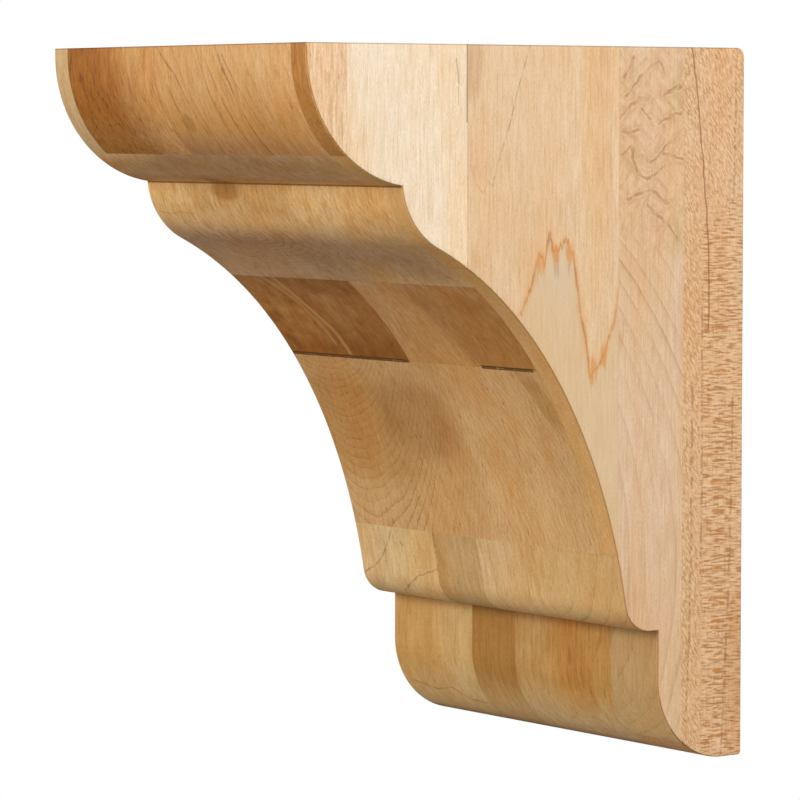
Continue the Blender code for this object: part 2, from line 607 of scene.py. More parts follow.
def rim_shade(wood):
    """Painted shade along the rims at the top and the wall side: a little browner there."""
    top = wood.drop.fall(RIM_CORE, RIM_REACH)
    wall = wood.depth.rise(DEPTH - RIM_REACH, DEPTH - RIM_CORE)
    near_rim = wood.math("MAXIMUM", wood.width.fall(0.6, 1.4), wood.depth.fall(0.3, 1.2))
    return wood.math("MAXIMUM", top, wall) * near_rim


FRONT_GRAIN = 0.3
FRONT_CONTRAST = 1.35
LEVEL_SPREAD = (0.52, 0.95, 1.72)
LEVEL_REST = tuple(1 - spread for spread in LEVEL_SPREAD)
WARM_TINT = (1.0, 0.9, 0.76)
# Painted shade on the rounded arris along the camera's side.
ARRIS_SHADE = (0.74, 0.58, 0.34)
ARRIS_SOFT = 0.05
FAR_RIM = (WIDTH - 0.7, WIDTH - 0.3)
WALL_RIM = (138.0, 144.0)
SIDE_RIM = (0.30, 0.9)
BUMP = {"Strength": 0.04, "Distance": 0.0001}


def board_colour(wood, look, contrast, dark, textures):
    """The board's plain colour, from light to dark wood, before any feature is laid on."""
    figure, fibre, grit = textures
    seed = look["seed"]
    wood.colour = wood.blend(dark, (*look["light"], 1.0), (*look["dark"], 1.0))
    wood.tint(WARM_TINT, wood.noise((0.05, 0.012), seed + 31.0, 1.0).rise(0.4, 0.7))
    swings = (
        (wood.noise((0.035, 0.018), seed), 0.2, look.get("mottle", 0.12)),
        (figure, 0.2, look.get("speckle", 0.10 * contrast)),
        (wood.noise((0.26, 0.10), seed + 28.0), 0.2, look.get("cloud", 0.05)),
        (grit, 0.25, 0.13 * contrast),
        (fibre, 0.2, -0.05 * contrast),
    )
    level = wood.together("MULTIPLY", [
        wood.range(value, 0.5 - reach, 0.5 + reach, 1 - swing, 1 + swing, smooth=False)
        for value, reach, swing in swings
    ])
    levels = wood.joined(level, level, level)
    toned = wood.vector("MULTIPLY_ADD", levels, LEVEL_SPREAD, LEVEL_REST)
    return wood.vector("MULTIPLY", wood.colour, toned)


def board_material(name, look):
    """One board's wood: tone, growth rings, fibre streaks, pores, mottling and joints."""
    material = bpy.data.materials.new(name)
    material.use_nodes = True
    wood = Wood(material.node_tree)
    seed = look["seed"]
    on_side = name.startswith("skin")
    contrast = 1.0 if on_side else FRONT_CONTRAST

    rings = growth_rings(wood, look)
    lines = ring_lines(wood, rings, look)
    grain = wood.vector("MULTIPLY", wood.place, (1.0, 1.0 if on_side else FRONT_GRAIN, 1.0))
    fibre = wood.noise((1.5, 0.07), seed + 9.0, 4.0, 0.65, grain)
    figure = wood.noise((0.85, 0.16), seed + 12.0, 4.0, 0.75, grain)
    grit = wood.noise((3.2, 1.0), seed + 14.0, 2.0, 0.6)
    pores = wood.noise((2.4, 0.32), seed + 20.0, 1.0, 0.5, grain).rise(0.67, 0.78)
    ticks = wood.noise((1.5, 0.22), seed + 25.0, 2.0, 0.5, grain).rise(0.66, 0.73)

    dark = lines * look.get("line", 0.5)
    dark = dark + wood.math("FRACT", rings) * look.get("band", 0.12)
    dark = dark + fibre.rise(0.45, 0.85, 0.0, look.get("fibre", 0.35))
    dark = dark + pores * look.get("pores", 0.3) + ticks * look.get("ticks", 0.3)
    dark = wood.math("MULTIPLY", dark, 1.0, clamp=True)
    plain = board_colour(wood, look, contrast, dark, (figure, fibre, grit))
    colour = wood.marked(plain, look.get("features", ()))
    if not on_side:
        seen = wood.width.fall(*FAR_RIM) * wood.depth.fall(*WALL_RIM)
        wood.colour = wood.blend(seen, plain, colour)
    if "front_shade" in look:
        side = wood.marked(colour, look["side_features"])
        wood.marked(colour, look.get("front_features", ()))
        # Painted shade: the front faces of a skin board darker and warmer than its sides.
        wood.tint(look["front_shade"], 1.0)
        wood.colour = wood.blend(wood.width.rise(*SIDE_RIM), side, wood.colour)
    if look["joints"]:
        wood.tint(GLUE_TINT, glue_lines(wood, look["joints"]))
    # Painted shade: the top and wall rims a little browner.
    wood.tint(RIM_SHADE_TINT, rim_shade(wood))
    # Painted shade on the rounded arris along the camera's side, below the top rim.
    wood.tint(ARRIS_SHADE, wood.width.band(ARRIS_SOFT, ARRIS, ARRIS_SOFT), wood.drop.rise(0.3, 1.0))

    roughness = wood.range(fibre, 0.3, 0.7, 0.50, 0.62, smooth=False)
    relief = fibre * 0.6 - lines * 0.5 - wood.math("MAXIMUM", pores, ticks) * 0.8
    bump = wood.field("ShaderNodeBump", {"Height": relief, **BUMP})
    wood.wire(wood.colour, "Principled BSDF", "Base Color")
    wood.wire(roughness, "Principled BSDF", "Roughness")
    wood.wire(bump, "Principled BSDF", "Normal")
    return material


STAIN_ARCH = (
    (71.8, 74.8), (75.1, 67.3), (76.6, 61.2), (78.2, 57.2), (80.2, 59.5), (81.9, 51.6),
    (83.0, 56.6), (84.9, 56.0), (87.6, 53.6), (90.3, 58.6), (92.3, 71.5), (94.8, 83.2),
    (96.3, 91.6), (99.6, 88.5), (101.8, 84.0), (104.8, 77.6), (106.3, 68.0),
)
ARCH_LOW = 60.0
ARCH_SPAN = 50.0
ARCH_TOP = 40.0
ARCH_DROP = 80.0
STAIN_SPOTS = (
    ((78.8, 60.0), (2.0, 4.4)),
    ((84.0, 57.5), (1.6, 3.4)),
    ((89.0, 57.0), (2.0, 3.8)),
    ((97.2, 90.5), (2.2, 5.4)),
    ((101.2, 86.0), (1.6, 4.6)),
)


def arch_drop(wood, depth):
    """How far down the outline of the stain lies at each depth."""
    node = wood.add("ShaderNodeFloatCurve", {"Value": (depth - ARCH_LOW) / ARCH_SPAN})
    points = node.mapping.curves[0].points
    shape = [((at - ARCH_LOW) / ARCH_SPAN, (low - ARCH_TOP) / ARCH_DROP) for at, low in STAIN_ARCH]
    points[0].location = (0.0, 1.0)
    points[1].location = (1.0, shape[-1][1])
    for at, low in shape:
        points.new(at, low)
    for point in points:
        point.handle_type = "VECTOR"
    node.mapping.update()
    return Field(wood, node.outputs[0]) * ARCH_DROP + ARCH_TOP


def stain_feature(wood):
    """Mineral stain on the near side: a jagged orange-brown arch with paler wood inside it."""
    depth = wood.shaken(wood.depth, 0.5, (0.5, 0.3), 4.0)
    drop = wood.shaken(wood.drop, 3.2, (1.1, 0.02), 5.0)
    flat = wood.joined(wood.width, depth, drop)
    below = drop - arch_drop(wood, depth)
    inside_arch = below.rise(-0.4, 1.2)
    wood.paint((0.70, 0.54, 0.33), inside_arch, 0.5)
    wood.paint((0.72, 0.62, 0.46), inside_arch, wood.drop.fall(62.0, 78.0), 0.35)
    outside = below.rise(-10.0, -0.5) * below.fall(-0.3, 0.5)
    column = wood.noise((0.8, 0.03), 40.0).rise(0.40, 0.60, 0.2)
    wood.paint((0.80, 0.47, 0.22), outside, column, 0.38)
    streaks = wood.noise((1.2, 0.05), 44.0).rise(0.48, 0.58) * below.band(0.0, 7.5, 3.0)
    wood.paint((0.46, 0.31, 0.20), streaks, wood.drop.fall(62.0, 69.0), 0.45)
    patchy = wood.noise((0.3, 0.15), 55.0, 3.0, 0.6).rise(0.34, 0.56, 0.4)
    patchy = patchy * wood.depth.fall(101.0, 106.0, 1.0, 0.55)
    wood.paint((0.78, 0.42, 0.16), wood.stroke(flat, STAIN_ARCH, 1.0, soft=1.8), patchy, 0.7)
    wood.paint((0.46, 0.20, 0.07), wood.stroke(flat, STAIN_ARCH, 0.34), patchy, 0.7)
    grain = wood.noise((1.3, 0.08), 47.0, 3.0, 0.6).rise(0.38, 0.54, 0.3)
    for centre, size in STAIN_SPOTS:
        wood.paint((0.72, 0.32, 0.08), wood.spot(flat, centre, size), grain, 0.85)


VEE_LINE = ((74.8, 0.0), (70.6, 12.3), (67.3, 23.2), (63.4, 33.0), (62.0, 38.6))
VEE_TAIL = ((62.0, 38.6), (60.2, 37.2), (58.6, 40.6), (56.6, 38.0), (54.4, 33.0))


def vee_feature(wood):
    """A fine dark line that slants down the stained board and turns up in a small vee."""
    flat = wood.joined(wood.width, wood.shaken(wood.depth, 0.5, (0.4, 0.25), 7.0), wood.drop)
    patchy = wood.noise((0.3, 0.25), 8.0, 3.0, 0.6).rise(0.38, 0.6, 0.1, 0.6)
    wood.paint((0.34, 0.18, 0.08), wood.stroke(flat, VEE_LINE, 0.22), patchy)
    wood.paint((0.50, 0.26, 0.12), wood.stroke(flat, VEE_TAIL, 0.26), patchy, 0.7)
    wood.tint((0.86, 0.76, 0.70), wood.spot(wood.place, (54.5, 3.5), (5.5, 15.0)), 0.8)


FISSURES = (
    (((49.5, 4.0), (50.0, 8.0), (50.2, 10.5)), 0.22, 0.5),
    (((50.0, 11.5), (50.3, 16.5)), 0.16, 0.4),
    (((53.2, 0.0), (53.1, 10.0), (53.1, 21.0)), 0.22, 0.75),
)


def fissure_feature(wood):
    """Short dark splits near the edge of the pale board and an open joint beside them."""
    for path, half, strength in FISSURES:
        wood.paint((0.34, 0.22, 0.10), wood.stroke(wood.place, path, half), strength)


FLECK_HEIGHT = 0.7
FLECK_SLOPE = 1.2
BAR_MIDDLE = 143.6
BAR_SPACING = 2.1
CRACK_LINE = (
    (132.7, 0.0), (134.8, 12.0), (136.7, 29.0), (138.4, 45.0), (139.3, 60.0), (139.4, 80.0),
)
SEAM_LINES = (
    ((137.0, 66.0), (137.2, 120.0), (136.8, 150.0)),
    ((133.6, 95.0), (133.2, 150.0), (131.4, 199.0)),
    ((149.4, 10.0), (149.0, 28.0), (148.4, 45.0)),
    ((148.6, 100.0), (147.6, 150.0), (144.8, 202.0)),
)


def leaning_flecks(wood):
    """Small lens-shaped flecks of random strength, on a slope."""
    bent = wood.shaken(wood.drop - wood.depth * FLECK_SLOPE, FLECK_HEIGHT * 0.4, 0.2, 65.0)
    flat = wood.joined(wood.width, wood.depth, bent)
    grid = (1.0, 1.0, 1 / FLECK_HEIGHT)
    cells = wood.vector("MULTIPLY_ADD", flat, grid, (65.0, 45.5, 19.5))
    gap, chances = wood.cells({"Vector": cells})
    return gap.fall(0.28, 0.52) * chances[0].rise(0.1, 0.8)


def dashes(wood, length, height, slope, seed):
    """Grain of short thin dashes, level or on a slope, to cut dark and pale marks from."""
    flat = wood.joined(wood.width, wood.depth, wood.drop - wood.depth * slope)
    return wood.noise((1 / length, 1 / height), seed, 1.5, 0.6, flat)


def level_bars(wood):
    """Long level flecks stacked down the middle of the board, some of them strong and orange."""
    away = wood.depth - BAR_MIDDLE
    sag = wood.shaken(wood.drop - away * away * 0.025, 0.6, 0.1, 80.0)
    gap, chances = wood.cells({"W": sag / BAR_SPACING}, voronoi_dimensions="1D")
    reach = chances[1] * 2.4 + wood.math("ABSOLUTE", away)
    zone = wood.drop.rise(38.0, 62.0) * reach.fall(3.6, 4.4)
    wood.paint((0.42, 0.18, 0.05), gap.fall(0.05, 0.18), chances[2].rise(0.2, 0.7), zone, 0.6)
    bold = gap.fall(0.13, 0.27) * chances[0].rise(0.70, 0.8)
    ragged = wood.noise((0.8, 0.4), 82.0).rise(0.38, 0.54, 0.25)
    wood.paint((0.56, 0.23, 0.04), bold, ragged, zone, 0.9)


def wall_board_marks(wood):
    """A crack and dotted seams down the board, and a browner corner at its foot."""
    wood.tint((0.88, 0.76, 0.60), wood.spot(wood.place, (151.0, 178.0), (7.0, 30.0)), 0.7)
    near = wood.width.fall(1.5, 4.0)
    flat = wood.joined(wood.width, wood.shaken(wood.depth, 0.6, 0.15, 98.0), wood.drop)
    gaps = wood.noise((0.3, 0.6), 99.0).rise(0.42, 0.56, 0.1)
    wood.paint((0.33, 0.12, 0.04), wood.stroke(flat, CRACK_LINE, 0.26), near, 0.8)
    for path in SEAM_LINES:
        wood.paint((0.33, 0.14, 0.05), wood.stroke(flat, path, 0.36), gaps, near, 0.55)


def fleck_feature(wood):
    """Ray flecks of the quarter-sawn board by the wall, with its cracks and dotted seams."""
    lower = wood.shaken(wood.drop, 14.0, (0.08, 0.05), 60.0).rise(30.0, 58.0)
    level = lower * wood.shaken(wood.depth, 1.5, 0.1, 59.0).rise(134.5, 138.5)
    leaning_grain = dashes(wood, 1.1, 1.0, 1.3, 61.0)
    grain = wood.mixed(level, leaning_grain, dashes(wood, 4.4, 0.56, 0.03, 67.0))
    posts = wood.noise((1.9, 0.30), 69.0, 1.5).rise(0.61, 0.69)
    extra = wood.mixed(level, leaning_flecks(wood), posts * 0.7)
    marks = wood.math("MAXIMUM", grain.rise(0.52, 0.59), extra)
    strong = wood.noise(0.16, 62.0).rise(0.36, 0.60, 0.6)
    aside = wood.width.fall(0.4, 1.5, 1.0, 0.35)
    wood.paint((0.90, 0.66, 0.38), grain.fall(0.36, 0.46), 0.6)
    wood.paint((0.42, 0.165, 0.035), marks, strong, aside, level * 0.30 + 0.52)
    level_bars(wood)
    wall_board_marks(wood)


CURLS = (
    ((109.0, 13.4), (115.3, 7.3), (120.7, 3.7), (122.8, 7.2)),
    ((107.4, 10.2), (111.6, 2.8)),
    ((106.9, 19.6), (110.1, 16.7), (114.3, 14.5), (117.5, 14.0)),
    ((114.6, 17.5), (118.6, 21.7)),
    ((120.8, 21.7), (124.5, 19.6), (128.6, 18.3)),
    ((122.9, 13.4), (128.5, 10.9)),
    ((107.4, 23.7), (113.8, 23.7)),
    ((114.9, 30.3), (117.6, 32.8), (123.5, 27.9), (127.8, 25.6)),
    ((107.5, 29.9), (110.6, 27.8), (112.8, 34.8), (116.0, 37.3), (119.8, 35.7), (122.7, 33.4)),
    ((122.4, 29.9), (129.5, 31.6)),
    ((109.7, 42.6), (116.6, 40.2), (118.2, 40.2), (124.1, 44.0)),
    ((116.6, 44.3), (122.5, 49.0)),
    ((123.6, 49.4), (129.1, 55.3)),
)
# Patches of painted sheen on the curly grain: middle and half size, as depth and drop.
CURL_SHEEN = (
    ((127.5, 14.0), (4.0, 12.0)),
    ((127.0, 52.0), (4.5, 9.0)),
    ((111.0, 31.0), (5.0, 5.0)),
)


def curl_feature(wood):
    """Curly grain at the top of the slanted board: soft folds that lean two ways, with painted shade
    round the folds, a painted highlight beside them and patches of painted sheen.
    """
    pushes = [wood.shaken(0.0, 1.5, 0.28, seed) for seed in (21.0, 27.0)]
    shaken = wood.vector("ADD", wood.place, wood.joined(0.0, *pushes))
    gap = wood.together("MINIMUM", [wood.path_gap(shaken, path, SIDE_VIEW) for path in CURLS])
    patchy = wood.noise(0.35, 24.0).rise(0.36, 0.58, 0.25)
    zone = wood.shaken(wood.drop, 6.0, 0.12, 18.0).fall(50.0, 60.0)
    # Painted shade round the folds.
    wood.tint((0.88, 0.78, 0.66), gap.fall(0.0, 2.6), zone, 0.75)
    falling = wood.noise(0.10, 33.0, 1.0).rise(0.46, 0.54)
    climbing = wood.math("SUBTRACT", 1.0, falling)
    for slope, share, seed in ((1.1, falling, 23.0), (-0.8, climbing, 29.0)):
        across = wood.shaken(wood.depth * slope + wood.drop, 0.9, 0.2, seed)
        flat = wood.joined(0.0, wood.depth * 0.22, across)
        hatch = wood.noise((1.0, 0.42), seed, place=flat)
        wood.paint((0.88, 0.68, 0.48), hatch.fall(0.36, 0.46), share, zone, 0.25)
        wood.paint((0.50, 0.30, 0.16), hatch.rise(0.52, 0.64), share, zone, 0.30)
    # Patches of painted sheen.
    for centre, size in CURL_SHEEN:
        wood.tint((0.90, 0.90, 0.76), wood.spot(shaken, centre, size), 0.5)
    # A painted highlight beside the folds.
    wood.paint((0.88, 0.70, 0.52), gap.band(0.55, 1.0, 0.3), zone, patchy, 0.35)
    wood.paint((0.46, 0.25, 0.12), gap.fall(0.05, 0.75), patchy, 0.34)
    wood.paint((0.38, 0.18, 0.07), gap.fall(0.08, 0.30), patchy.rise(0.5, 0.9), 0.38)


def pink_feature(wood):
    """A pinker cast in long soft columns."""
    wood.tint((1.0, 0.92, 0.93), wood.noise((0.22, 0.012), 111.0).rise(0.46, 0.62), 0.45)


def cap_dark_feature(wood):
    """Heartwood that darkens to orange-brown toward the far edge of the cap."""
    slant = wood.drop * 0.45 + wood.width
    heart = wood.shaken(slant, 7.0, (0.3, 0.05), 130.0).rise(84.0, 112.0)
    wood.tint((0.58, 0.38, 0.15), heart)
    wood.tint((1.10, 1.28, 1.65), wood.drop.rise(16.0, 27.0), heart)
    wood.paint((0.14, 0.05, 0.015), wood.noise((0.8, 0.12), 133.0).rise(0.58, 0.68), heart, 0.6)


CAP_LINES = (
    (((73.4, 0.0), (64.3, 8.1), (60.4, 16.4), (58.0, 25.0)), 0.28, 0.7),
    (((53.4, 0.0), (49.7, 9.6), (47.5, 19.1), (47.8, 25.0)), 0.24, 0.55),
    (((44.0, 0.0), (37.9, 11.0), (35.2, 21.9), (34.6, 30.0)), 0.34, 0.7),
    (((49.0, 3.0), (45.0, 11.0), (42.4, 19.0), (41.0, 28.0)), 0.26, 0.55),
    (((40.5, 3.0), (36.0, 9.0), (31.0, 18.0), (27.5, 27.0)), 0.26, 0.5),
    (((69.0, 11.0), (67.5, 16.0), (66.5, 19.0)), 0.45, 0.5),
)


def cap_strokes(wood):
    """The main growth lines that cross the cap's face on a slant, painted shade toward the bottom of
    the cap, and a small green knot.
    """
    flat = wood.joined(wood.shaken(wood.width, 0.6, 0.2, 140.0), wood.depth, wood.drop)
    patchy = wood.noise((0.35, 0.2), 141.0, 2.0, 0.6).rise(0.36, 0.58, 0.35)
    for path, half, strength in CAP_LINES:
        line = wood.stroke(flat, path, half, FRONT_VIEW)
        wood.paint((0.32, 0.14, 0.045), line, patchy, strength)
    # Painted shade: the cap darker and browner as its face curves down, and darker and greyer still
    # near its lower edge.
    wood.tint((0.92, 0.83, 0.66), wood.width.band(12.0, 84.0, 14.0), wood.drop.rise(8.0, 26.0))
    wood.tint((0.74, 0.74, 0.96), wood.drop.rise(21.5, 30.0), wood.width.rise(14.0, 75.0, 0.4))
    wood.tint((0.66, 0.66, 0.48), wood.spot(flat, (65.0, 21.5), (3.4, 3.4), FRONT_VIEW), 0.8)
    near = wood.shaken(wood.width, 3.0, (0.3, 0.04), 143.0).fall(22.0, 30.0)
    wood.tint((1.04, 1.09, 1.16), near)


def corner_shadow(wood):
    """A painted shadow: the thin dark line in the inside corner where the neck starts under the cap.
    """
    corner = wood.stroke(wood.place, ((31.4, 38.35), (31.42, 38.6)), 0.16)
    wood.paint((0.22, 0.10, 0.02), corner, 0.85)


NECK_LINE = ((125.0, 47.2), (119.0, 47.9), (113.0, 47.2), (107.0, 47.8))
SWIRL_CENTRE = (86.0, 40.0, 54.5)


def neck_feature(wood):
    """The neck: painted shade and painted light on the underside of the cap, a bright strip under the
    cap, swirled grain, a dark spot and fine lines.
    """
    width, depth, drop = wood.axes
    inner = width.rise(8.0, 26.0, 0.3)
    under_cap = drop.rise(26.0, 29.5)
    above = drop.fall(38.2, 38.7) * under_cap
    # Painted shade on the underside of the cap.
    wood.tint((0.82, 0.75, 0.66), depth.band(15.0, 28.5, 5.0), inner, under_cap)
    # A yellower painted shade on the lip by the inside corner.
    wood.tint((1.12, 0.94, 0.54), depth.rise(26.8, 28.6), above)
    # Painted shade on the underside near its front, and painted light further back and toward the far
    # side.
    step = depth.fall(14.0, 18.5) * width.fall(92.0, 104.0) * width.rise(18.0, 56.0, 0.35)
    wood.tint((0.76, 0.70, 0.74), step, above)
    wood.tint((1.12, 1.15, 1.30), depth.rise(18.5, 22.0), above)
    wood.tint((1.12, 1.14, 1.18), width.rise(106.0, 114.0), depth.fall(20.0, 27.0), above)
    face = depth.rise(31.0, 31.6)
    wood.tint((0.82, 0.80, 0.76), width.band(54.0, 106.0, 12.0), drop.fall(45.0, 50.0), face)
    top = wood.shaken(drop, 2.0, 0.12, 150.0).fall(47.0, 54.0)
    wood.tint((1.12, 1.10, 1.0), top, face)
    wood.tint((1.0, 0.90, 0.68), wood.noise((0.09, 0.2), 151.0).rise(0.5, 0.65), top, 0.5)
    flat = wood.joined(wood.shaken(width, 1.6, 0.25, 152.0), depth, drop)
    wood.tint((0.66, 0.55, 0.38), wood.spot(flat, (86.0, 40.2), (9.0, 4.4), FRONT_VIEW), 0.9)
    wood.paint((0.34, 0.18, 0.07), wood.stroke(wood.place, NECK_LINE, 0.20, FRONT_VIEW), 0.3)
    edge = wood.shaken(width * 0.05 + drop, 2.0, 0.08, 153.0)
    easing = edge.rise(59.0, 67.0) * width.fall(46.0, 64.0) * 0.8
    grey = edge.rise(53.5, 60.0) * depth.rise(33.0, 36.0) * inner
    wood.tint((0.84, 0.82, 0.93), grey, wood.math("SUBTRACT", 1.0, easing))
    wood.tint((0.86, 0.84, 0.82), drop.band(58.0, 64.5, 4.0), width.band(12.0, 76.0, 14.0))
    wood.tint((0.96, 0.90, 0.78), drop.rise(63.0, 69.0), width.band(44.0, 104.0, 14.0))
    away = wood.vector("SUBTRACT", wood.place, SWIRL_CENTRE)
    away = wood.vector("LENGTH", wood.vector("MULTIPLY", away, (0.42, 0.9, 1.0)))
    swirl = wood.shaken(away, 1.0, 0.15, 155.0)
    arcs = wood.math("FRACT", swirl * 0.62).rise(0.55, 0.95)
    wood.tint((0.66, 0.60, 0.66), arcs, swirl.fall(4.0, 22.0, 0.65, 0.12), drop.rise(51.0, 54.0))
    corner_shadow(wood)


COVE_LINES = (
    (((105.4, 66.9), (101.3, 75.2), (96.5, 82.6), (95.7, 89.0)), 0.65),
    (((111.4, 66.3), (104.8, 73.6), (101.8, 79.8), (100.5, 86.1)), 0.55),
)


def cove_patch(wood):
    """A dark brown patch, bounded on the far side by pale slanting lines."""
    width, depth, drop = wood.axes
    slant = wood.shaken(drop * 0.50 + width, 0.5, (0.3, 0.1), 160.0)
    wood.tint((0.80, 0.72, 0.62), slant.fall(137.2, 138.4))
    wood.tint((0.72, 0.59, 0.36), wood.shaken(drop, 4.0, 0.1, 162.0).rise(77.0, 90.0))
    wood.tint((0.82, 0.78, 0.72), drop.fall(68.5, 73.0))
    wood.tint((0.88, 0.76, 0.56), width.rise(88.0, 100.0), drop.band(71.0, 92.0, 5.0))
    blots = wood.noise(0.11, 163.0, 2.0, 0.6).rise(0.5, 0.68)
    wood.tint((0.72, 0.62, 0.52), blots, width.rise(98.0, 104.0), 0.8)
    flat = wood.joined(wood.shaken(width, 0.5, 0.3, 165.0), depth, drop)
    for path, strength in COVE_LINES:
        wood.tint((0.74, 0.64, 0.54), wood.stroke(flat, path, 1.5, FRONT_VIEW, 1.8), 0.5)
        wood.paint((0.62, 0.39, 0.18), wood.stroke(flat, path, 0.85, FRONT_VIEW, 1.6), strength)


def cove_near_feature(wood):
    """The near board of the cove: browner on the near side of a slanting line."""
    width, drop = wood.width, wood.drop
    slant = wood.shaken(drop * 0.57 + width, 1.5, (0.2, 0.1), 167.0)
    wood.tint((0.86, 0.78, 0.66), slant.fall(82.0, 88.0), drop.rise(67.0, 73.0))
    wood.tint((0.94, 0.97, 1.18), wood.shaken(drop, 2.0, 0.1, 168.0).fall(62.0, 71.0))
    wood.tint((1.0, 1.09, 1.45), width.rise(24.0, 44.0), drop.fall(72.0, 90.0))
    wood.tint((1.08, 1.08, 1.05), slant.band(86.0, 104.0, 7.0))


def torn_feature(wood):
    """The shaded bottom of the ragged groove where grain tore out along the low joint."""
    ragged = wood.shaken(wood.depth, 0.10, (0.8, 0.0, 0.0), 170.0)
    line = ragged.band(LOW_COVE_DEPTH - 0.26, LOW_COVE_DEPTH + 0.27, 0.14)
    torn = wood.math("MAXIMUM", wood.width.rise(66.0, 69.0), wood.width.band(9.0, 33.0, 1.0))
    wood.paint((0.12, 0.050, 0.005), line, torn, wood.drop.rise(60.0, 70.0), 0.95)


def cove_low_feature(wood):
    """A brown heart in the middle of the low cove, paler wood beside it, a patch at its edge."""
    width, drop = wood.width, wood.drop
    heart = wood.spot(wood.place, (78.0, 108.0), (24.0, 16.0), FRONT_VIEW)
    wood.tint((0.76, 0.66, 0.55), heart, 0.8)
    wood.tint((1.13, 1.19, 1.30), width.band(22.0, 56.0, 12.0), drop.fall(124.0, 142.0, 1.0, 0.6))
    wood.tint((0.90, 0.83, 0.70), width.rise(82.0, 94.0), drop.band(97.0, 128.0, 8.0))
    wood.tint((1.06, 1.09, 1.12), drop.rise(116.0, 134.0))
    edge = wood.shaken(drop * 0.35 + width, 0.8, (0.3, 0.1), 175.0)
    patch = edge.band(43.0, 50.5, 1.2) * drop.band(91.0, 107.0, 7.0)
    wood.tint((0.84, 0.76, 0.62), patch, width.rise(7.6, 8.4))
    wood.tint((1.05, 1.06, 1.08), width.fall(20.0, 34.0))


FOOT_TOP = HEIGHT - FOOT_HEIGHT
# Painted shade along the bottom rim of the foot: each tint, and the drops where it starts and is
# full.
FOOT_RIM_SHADE = (((0.66, 0.56, 0.64), 199.5, 202.0), ((0.60, 0.52, 0.60), 202.3, 202.9))


def foot_shading(below, bottom=(1.10, 1.16, 1.26)):
    """Painted shade and light on the foot: the same boards darker and browner under the nose than in
    the nose, a painted shadow line just under the nose, painted light round the bottom and painted
    shade on the bottom rim.
    """
    def feature(wood):
        drop = wood.drop
        # Painted shade: the foot under the nose darker and browner than the nose, less so toward the
        # bottom.
        foot = drop.rise(FOOT_TOP - 0.3, FOOT_TOP + 0.3)
        wood.tint(below, foot, drop.fall(182.0, 199.0, 1.0, 0.35))
        # A painted shadow line just under the nose.
        shade = drop.rise(FOOT_TOP - 0.3, FOOT_TOP)
        wood.tint((0.78, 0.70, 0.62), shade, drop.fall(FOOT_TOP + 0.3, FOOT_TOP + 3.5))
        # Painted light round the bottom, then painted shade along the bottom rim.
        for tint, low, high in ((bottom, 184.0, 198.0), *FOOT_RIM_SHADE):
            wood.tint(tint, drop.rise(low, high))
    return feature


MINERAL_LINES = (
    (((108.2, 143.5), (113.7, 150.7), (119.0, 155.5), (126.5, 158.8)), 0.6),
    (((88.0, 154.5), (98.6, 157.5), (108.4, 162.7)), 0.6),
    (((122.0, 192.5), (112.0, 194.5), (103.0, 193.0), (97.0, 195.8), (90.0, 196.5)), 0.5),
    (((119.1, 166.7), (121.7, 174.5), (121.0, 181.8), (119.3, 184.2)), 0.35),
    (((105.0, 147.5), (104.2, 148.6)), 0.6),
    (((87.7, 143.5), (87.6, 156.0), (87.8, 165.0)), 0.7),
)


def mineral_lines(wood):
    """Thin dark mineral lines that wander over the far nose and foot."""
    width = wood.shaken(wood.width, 0.8, 0.25, 180.0)
    flat = wood.joined(width, wood.depth, wood.shaken(wood.drop, 0.5, 0.3, 184.0))
    patchy = wood.noise(0.3, 186.0, 2.0, 0.6).rise(0.36, 0.56, 0.35)
    for path, strength in MINERAL_LINES:
        line = wood.stroke(flat, path, 0.26, FRONT_VIEW)
        wood.paint((0.28, 0.15, 0.06), line, patchy, strength)


def foot_mid_feature(wood):
    """A warmer heart in the middle of the foot, streaked with brown."""
    heart = wood.shaken(wood.width, 5.0, (0.3, 0.04), 190.0).band(20.0, 47.0, 9.0)
    heart = heart * wood.drop.rise(164.0, 167.0) * wood.drop.fall(184.0, 194.0, 1.0, 0.3)
    wood.tint((0.95, 0.86, 0.66), heart)
    wood.paint((0.30, 0.13, 0.04), wood.noise((0.5, 0.10), 193.0).rise(0.60, 0.70), heart, 0.45)


